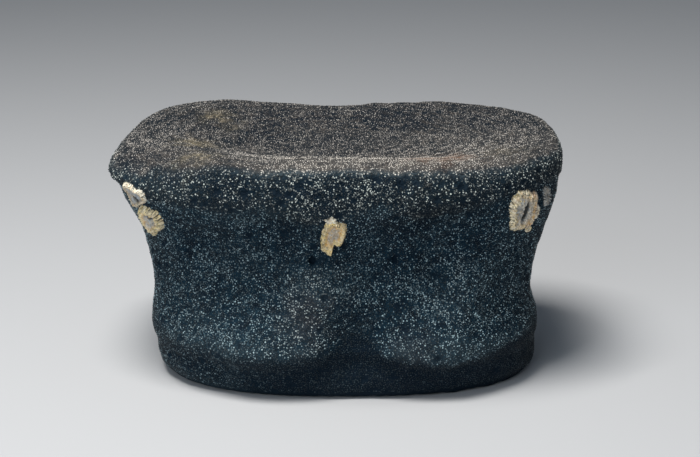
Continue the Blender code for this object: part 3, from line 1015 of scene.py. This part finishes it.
def near_angle(angles, middle, half_width):
    """1 about one angle, falling to 0 beyond the half-width; both in degrees."""
    off = (np.degrees(angles) - middle + 180.0) % 360.0 - 180.0
    return np.exp(-((off / half_width) ** 4))


def grid_faces(rings, around, first):
    """Faces of a stack of rings that is closed by a point at each end."""
    def at(ring, step):
        return first + 1 + ring * around + step % around

    faces = [(first, at(0, step), at(0, step + 1)) for step in range(around)]
    faces += [
        (at(ring, step), at(ring + 1, step), at(ring + 1, step + 1), at(ring, step + 1))
        for ring in range(rings - 1)
        for step in range(around)
    ]
    last = first + 1 + rings * around
    faces += [(last, at(rings - 1, step + 1), at(rings - 1, step)) for step in range(around)]
    return faces


SKIN = surface_of(bone)
print("ways that a shell may face:", ", ".join(SIDES))

# %% [markdown]
# ## The five designs
# Sizes are in millimetres in the plane of the skin, right and up from the shell's place.
# Ribs run from the mouth to the edge; teeth are the cut ends of the tubes in the wall, and
# show as a row of notches along a part of the edge; fans are a few coarse broken plates.
# The words dark, warm, cool, pink and streaks say how strong each tone of the shell is, and
# tones says from where to where, going outwards, the inside turns into the brim.

# %% Shell designs
# The mouth's middle, half-width, half-length and lean; then how many teeth or fans, how
# deep, and about which direction and how far round in degrees.
PLAIN = {
    "warm": 0.5, "mouth": (0, 40, 1, 1, 0), "dark": 0.0, "teeth": (9, 0.0, 0, 1),
    "fans": (0, 0.0, 0, 1), "pink": 0.0,
}
SHELLS = {
    "barnacle_left_upper": [
        {
            "place": ("left", -37.5, 83.7),
            "corners": [
                (-6.3, 4.3), (-1.1, 6.9), (3.1, 6.6), (5.5, 4.6), (9.2, 5.2), (10.1, 3.2), (10.0, 0.6),
                (8.0, -1.3), (4.6, -3.0), (0.6, -4.4), (-2.9, -6.6), (-5.4, -6.6), (-6.3, -4.0),
                (-6.8, -1.0), (-7.4, 1.2), (-7.8, 2.8),
            ],
            "middle": (0.6, 0.8), "wall": 1.4, "inner": 0.45, "brim": 0.85, "floor": 0.8,
            "mouth": (0.4, -1.0, 2.3, 1.9, 20), "dark": 1.0, "ribs": (30, 0.05), "warm": 0.12,
            "teeth": (60, 0.09, 90, 110), "fans": (0, 0.0, 0, 1), "cool": 1.0, "pink": 0.0,
            "tones": (0.50, 1.0), "streaks": 0.2,
        },
    ],
    "barnacle_left_lower": [
        {
            "place": ("left", -36.6, 72.5),
            "corners": [
                (-2.3, 7.5), (1.4, 8.7), (3.5, 8.6), (5.0, 7.8), (5.4, 6.8), (8.7, 7.4), (9.3, 5.5),
                (10.0, 3.8), (8.6, 0.8), (7.9, -1.9), (4.8, -4.0), (1.6, -5.4), (-3.1, -9.3),
                (-6.4, -8.5), (-8.0, -6.5), (-7.6, -3.3), (-7.5, -0.1), (-6.7, 2.8), (-4.8, 5.4),
            ],
            "middle": (0.4, 0.6), "wall": 1.8, "inner": 0.28, "brim": 0.62, "floor": 0.6,
            "mouth": (0.6, 2.6, 2.1, 1.7, 0), "dark": 1.0, "ribs": (26, 0.08), "warm": 0.85,
            "teeth": (60, 0.09, 100, 120), "fans": (26, 0.30, 115, 90), "cool": 1.0, "pink": 0.0,
            "tones": (0.36, 0.70), "streaks": 0.4,
        },
    ],
    "barnacle_front": [
        {
            **PLAIN, "place": ("front", -0.1, 73.2),
            "corners": [
                (-2.8, 7.5), (-4.0, 3.4), (-5.0, -0.7), (-5.4, -4.1), (-5.3, -7.8), (-3.1, -9.6),
                (-1.2, -10.8), (-0.7, -7.8), (-0.1, -4.4), (1.3, -5.8), (3.1, -6.5), (4.3, -3.1),
                (5.0, 0.6), (5.3, 3.7), (5.2, 5.7), (3.0, 7.0), (0.5, 8.3),
            ],
            "middle": (-0.2, 0.0), "wall": 2.2, "inner": 0.46, "brim": 0.84, "floor": 0.8,
            "ribs": (30, 0.03), "teeth": (64, 0.06, 120, 80), "cool": 0.7, "pink": 0.1,
            "warm": 0.95, "tones": (0.34, 0.75), "streaks": 0.0,
        },
        {
            **PLAIN, "place": ("front", -0.1, 73.2),
            "corners": [
                (-4.4, 8.7), (-3.0, 8.9), (-2.6, 9.6), (-1.9, 9.3), (-0.8, 10.7), (-0.2, 9.4), (0.9, 9.3),
                (0.6, 8.4), (1.6, 7.4), (-0.8, 6.9), (-2.8, 6.7), (-3.2, 7.7),
            ],
            "middle": (-1.4, 8.5), "wall": 1.0, "inner": 0.0, "brim": 0.5, "floor": 0.8,
            "ribs": (9, 0.1), "cool": 0.35, "warm": 0.1, "tones": (0.0, 0.15),
        },
    ],
    "barnacle_right": [
        {
            "place": ("front", 79.2, 78.8),
            "corners": [
                (-5.4, 10.5), (-2.4, 9.9), (-0.3, 10.0), (2.3, 8.2), (5.0, 7.9), (7.8, 5.9), (6.8, 4.5),
                (6.6, 2.1), (6.7, -1.4), (6.5, -4.5), (6.6, -6.2), (6.3, -8.0), (3.4, -9.2),
                (-0.1, -9.9), (-4.0, -9.2), (-6.0, -7.5), (-6.7, -5.6), (-6.4, -3.5), (-7.9, 0.3),
                (-8.8, 2.7), (-7.9, 4.8), (-7.5, 7.3), (-5.8, 8.8),
            ],
            "middle": (0.3, -0.2), "wall": 2.0, "inner": 0.14, "brim": 0.80, "floor": 0.8,
            "mouth": (0.5, -0.3, 1.3, 4.6, 8), "dark": 1.0, "ribs": (44, 0.10), "warm": 0.60,
            "teeth": (64, 0.05, 262, 75), "fans": (0, 0.0, 0, 1), "cool": 1.0, "pink": 0.8,
            "tones": (0.38, 1.0), "streaks": 0.55,
        },
        {
            **PLAIN, "place": ("front", 79.2, 78.8),
            "corners": [(4.0, -9.6), (6.9, -9.0), (7.6, -10.6), (6.4, -11.9), (4.6, -11.3)],
            "middle": (5.8, -10.4), "wall": 0.9, "inner": 0.0, "brim": 0.5, "floor": 0.8,
            "ribs": (5, 0.1), "cool": 1.0,
        },
        {
            **PLAIN, "place": ("front", 79.2, 78.8),
            "corners": [(7.5, 1.4), (9.0, 0.4), (9.1, -2.6), (8.3, -5.8), (7.2, -5.6), (7.2, -2.4)],
            "middle": (8.1, -2.2), "wall": 1.1, "inner": 0.0, "brim": 0.6, "floor": 0.9,
            "ribs": (12, 0.2), "cool": 0.8, "warm": 0.1,
        },
    ],
    "barnacle_right_worn": [
        {
            "place": ("right", -33.3, 82.2),
            "corners": [
                (-3.4, 5.3), (-0.8, 4.7), (2.2, 1.4), (3.6, -2.7), (3.0, -5.0), (0.8, -4.9),
                (-2.2, -0.7), (-3.8, 3.4),
            ],
            "middle": (0.0, 0.2), "wall": 1.1, "inner": 0.25, "brim": 0.6, "floor": 0.5,
            "mouth": (0.2, 0.0, 0.8, 2.2, -20), "dark": 0.7, "ribs": (15, 0.25),
            "teeth": (44, 0.20, 180, 170), "fans": (14, 0.5, 60, 120), "cool": 1.0, "pink": 0.0,
            "warm": 0.0, "tones": (1.0, 1.7), "streaks": 0.1,
        },
    ],
}
print("shells:", ", ".join(SHELLS))

# %% [markdown]
# ## Build the shells
# The height of a point comes from how far out it lies: a steep edge, a brim, then a slope
# down to the floor. Ribs, teeth and fans cut grooves into that, and noise chips it. The same
# numbers tell the material what each point is: brim, floor, mouth or gap.

# %% Shell building
TONES = ("brim", "mouth", "gap", "cool", "warm", "pink", "ribbed")


def noise_round(angles, detail, seed):
    """Smooth noise round a closed ring; detail is how many changes fit in one radian."""
    way = [Vector((math.cos(a) * detail, math.sin(a) * detail, seed)) for a in angles]
    return np.array([noise.noise(place) for place in way])


def noise_flat(x, y, seed, detail):
    """Smooth noise over a flat piece of shell; detail is how many changes fit in 1 mm."""
    rows = [[Vector((u, v, seed)) * detail for u, v in zip(*row)] for row in zip(x, y)]
    return np.array([[noise.noise(place) for place in row] for row in rows])


def rib_pattern(angles, share, ribs):
    """1 on a rib and 0 between ribs, with ribs that wander as they run outwards."""
    round_way = [Vector((math.cos(a) * ribs / 3.0, math.sin(a) * ribs / 3.0, 0.0)) for a in angles]
    rows = [[noise.noise(place + UP * (1.6 * s)) for place in round_way] for s in share[:, 0]]
    return smooth_step(np.array(rows), -0.3, 0.3)


def shell_part(design):
    """Rings of places, heights and tones for one piece of shell."""
    angles = np.arange(SHELL_ROUND) * math.tau / SHELL_ROUND
    share = np.linspace(0.0, 1.0, SHELL_RINGS + 1)[1:, None] ** 0.85
    wobble = noise_round(angles, 1.7, design["wall"])
    chance = noise_round(angles, 9.0, design["wall"])
    jagged = noise_round(angles, 21.0, design["floor"])
    teeth, tooth_depth, tooth_middle, tooth_width = design["teeth"]
    cut = smooth_step(noise_round(angles, teeth / 3.0, 2.0), 0.08, 0.32)
    cut *= near_angle(angles, tooth_middle, tooth_width)
    fans, fan_depth, fan_middle, fan_width = design["fans"]
    gap = smooth_step(noise_round(angles, fans / 2.0, 4.0), 0.05, 0.30)
    gap *= near_angle(angles, fan_middle, fan_width) * float(fans > 0)
    edge = outline_radius(design["corners"], design["middle"], angles)
    edge *= 1.0 - tooth_depth * cut - 0.5 * fan_depth * gap + 0.05 * chance + 0.035 * jagged
    ribs, rib_depth = design["ribs"]
    ribbed = rib_pattern(angles, share, ribs)
    x = design["middle"][0] + share * edge * np.sin(angles)
    y = design["middle"][1] + share * edge * np.cos(angles)

    middle_x, middle_y, half_wide, half_long, lean = design["mouth"]
    lean = math.radians(lean)
    along = (x - middle_x) * math.sin(lean) + (y - middle_y) * math.cos(lean)
    across = (x - middle_x) * math.cos(lean) - (y - middle_y) * math.sin(lean)
    mouth = np.hypot(across / half_wide, along / half_long)

    brim = smooth_step(share, design["inner"], design["brim"])
    tones_from_to = design.get("tones", (design["inner"], design["brim"]))
    tone_brim = smooth_step(share + 0.04 * chance, *tones_from_to)
    wall = (design["wall"] - design["floor"]) * brim
    height = design["floor"] + wall * (1.0 + 0.5 * wobble + 0.12 * chance)
    outer = smooth_step(share, 0.35, 0.95)
    height *= 1.0 - rib_depth * (1.0 - ribbed)
    height *= 1.0 - 0.6 * cut * smooth_step(share, 0.84, 0.97) * (tooth_depth > 0.0)
    height *= 1.0 - 1.6 * fan_depth * gap * smooth_step(share, 0.40, 0.75)
    rough = noise_flat(x, y, design["floor"], 0.9)
    fine = noise_flat(x, y, design["wall"], 2.3)
    height += 0.50 * rough + 0.34 * fine
    chips = smooth_step(fine + 0.5 * rough, 0.16, 0.38) * smooth_step(share, 0.50, 0.80)
    height -= 0.45 * chips
    height *= smooth_step(1.0 - share, 0.0, EDGE_STEEP)
    opened = smooth_step(mouth, 0.75, 1.25)
    height = np.maximum(height * opened, 0.15) - (SHELL_SINK + 0.15) * (share > 0.999)
    tooth_gap = 0.95 * cut * (tooth_depth > 0.03) * smooth_step(share, 0.85, 0.96)
    cool = 1.0 - tone_brim + 0.5 * rough - 0.10 * design["pink"] * x
    tones = {
        "brim": np.clip(tone_brim + 0.6 * rough + 0.2 * fine, 0.0, 1.0),
        "mouth": (1.0 - opened) * design["dark"],
        "gap": np.clip(tooth_gap + gap * outer + 0.8 * chips, 0.0, 1.0),
        "cool": design["cool"] * np.clip(cool, 0.0, 1.0),
        "warm": np.clip(design["warm"] + 0.6 * rough + 0.4 * fine, 0.0, 1.0),
        "pink": design["pink"] * smooth_step(x + 1.2 * rough, 0.5, 3.0),
        "ribbed": design.get("streaks", 0.3) * ribbed,
    }
    return x, y, height, tones


def build_shell(name, designs):
    """One barnacle from its designs, as one mesh of closed pieces."""
    places, faces = [], []
    tones = {tone: [] for tone in TONES}
    for design in designs:
        middle, out, right, up = frame_at(*design["place"])
        x, y, height, part_tones = shell_part(design)

        def drop(across, along, lift):
            start = middle + right * float(across) + up * float(along) + out * 15.0
            hit, _, _, _ = SKIN.ray_cast(start * MM, -out)
            return hit / MM + out * float(lift)

        first = len(places)
        places.append(drop(*design["middle"], height[0].mean()))
        places += [drop(*values) for row in zip(x, y, height) for values in zip(*row)]
        inset_x = design["middle"][0] + 0.6 * (x[-1] - design["middle"][0])
        inset_y = design["middle"][1] + 0.6 * (y[-1] - design["middle"][1])
        places += [drop(u, v, -SHELL_SINK) for u, v in zip(inset_x, inset_y)]
        places.append(drop(*design["middle"], -SHELL_SINK))
        faces += grid_faces(SHELL_RINGS + 1, SHELL_ROUND, first)
        for tone, values in part_tones.items():
            under = [0.0] * (SHELL_ROUND + 1)
            tones[tone] += [float(values[0].mean())] + values.ravel().tolist() + under
    mesh = bpy.data.meshes.new(name + "_shell")
    mesh.from_pydata([place * MM for place in places], [], faces)
    shape = bmesh.new()
    shape.from_mesh(mesh)
    bmesh.ops.recalc_face_normals(shape, faces=shape.faces)
    shape.to_mesh(mesh)
    shape.free()
    for tone, values in tones.items():
        set_value(mesh, tone, values)
    mesh.shade_smooth()
    return link(name + "_shell", mesh)


# %% [markdown]
# ## The shells' material
# Old shell is pale or cream on the brim, golden where the brim begins, and blue-grey inside.
# Patches of a fine mottle are darkened towards brown, as painted shade of fine crevices, and
# the slot of a mouth and the gaps between teeth are dark. The tones stored on the mesh say
# where each colour lies, and mottle breaks their edges up.

# %% Shell material
SHELL_CREAM = (1.0, 0.76, 0.28, 1.0)
SHELL_PALE = (1.0, 0.95, 0.82, 1.0)
SHELL_GOLD = (0.78, 0.49, 0.18, 1.0)
SHELL_COOL = (0.33, 0.42, 0.50, 1.0)
SHELL_PINK = (0.84, 0.55, 0.36, 1.0)
SHELL_DEEP = (0.15, 0.115, 0.07, 1.0)
SHELL_DARK = (0.018, 0.020, 0.018, 1.0)


def shell_material():
    """Chalky, stained shell."""
    material = bpy.data.materials.new("barnacle_shell")
    material.use_nodes = True
    tree = material.node_tree
    shader = tree.nodes["Principled BSDF"]
    where = put(tree, "ShaderNodeTexCoord").outputs["Object"]
    brim, cool = attribute(tree, "brim"), attribute(tree, "cool")
    quick = use(tree, MOTTLE, Vector=where, Scale=420.0).outputs["Fac"]
    slow = use(tree, MOTTLE, Vector=where, Scale=210.0).outputs["Fac"]
    fine_grain = use(tree, SPECKLE, Vector=where, Scale=1300.0, Amount=0.75)
    warm = attribute(tree, "warm")
    warmth = maths(tree, "MULTIPLY", warm, ranged(tree, quick, 0.0, 1.0, 1.0, 0.55))
    edge = mixed(tree, warmth, SHELL_PALE, SHELL_CREAM)
    edge_gold = maths(tree, "MULTIPLY", warmth, ranged(tree, slow, 0.35, 0.8, 0.0, 0.4))
    edge = mixed(tree, edge_gold, edge, SHELL_GOLD)
    edge = mixed(tree, attribute(tree, "pink"), edge, SHELL_PINK)
    inside = mixed(tree, maths(tree, "MULTIPLY", slow, 0.35), SHELL_COOL, SHELL_GOLD)
    inside = mixed(tree, cool, SHELL_GOLD, inside)
    golden = maths(tree, "MULTIPLY", warm, ranged(tree, brim, 0.05, 0.5, 0.0, 0.8))
    colour = mixed(tree, golden, inside, SHELL_GOLD)
    colour = mixed(tree, ranged(tree, brim, 0.30, 0.95), colour, edge)
    rib_tone = ranged(tree, attribute(tree, "ribbed"), 0.1, 1.0, 0.0, 0.9)
    colour = mixed(tree, rib_tone, colour, SHELL_PALE)
    bright = maths(tree, "MULTIPLY", fine_grain.outputs["Fac"], 0.5)
    colour = mixed(tree, bright, colour, SHELL_PALE)
    # Painted shade: patches of a fine mottle are darkened towards dark brown, as the shade of crevices.
    crevice_shade = use(tree, MOTTLE, Vector=where, Scale=950.0).outputs["Fac"]
    colour = mixed(tree, ranged(tree, crevice_shade, 0.62, 1.0, 0.0, 0.55), colour, SHELL_DEEP)
    dark = maths(tree, "MAXIMUM", attribute(tree, "mouth"), attribute(tree, "gap"))
    colour = mixed(tree, dark, colour, SHELL_DARK)
    tree.links.new(colour, shader.inputs["Base Color"])
    height = maths(tree, "ADD", fine_grain.outputs["Height"], quick)
    bump = put(tree, "ShaderNodeBump", {"Strength": 0.9, "Distance": 0.0007, "Height": height})
    tree.links.new(bump.outputs["Normal"], shader.inputs["Normal"])
    shader.inputs["Roughness"].default_value = 0.5
    return material


# %% [markdown]
# ## Place the shells
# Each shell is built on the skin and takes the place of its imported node. All five share
# one material, because the tones on their meshes already make them differ.

# %% Place the shells
SHELL_LOOK = shell_material()
for shell_name, shell_designs in SHELLS.items():
    shell = build_shell(shell_name, shell_designs)
    shell.data.materials.append(SHELL_LOOK)
    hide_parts(shell_name)
    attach(shell, "root")
    print(shell.name + ":", triangles_in(shell.data), "triangles")
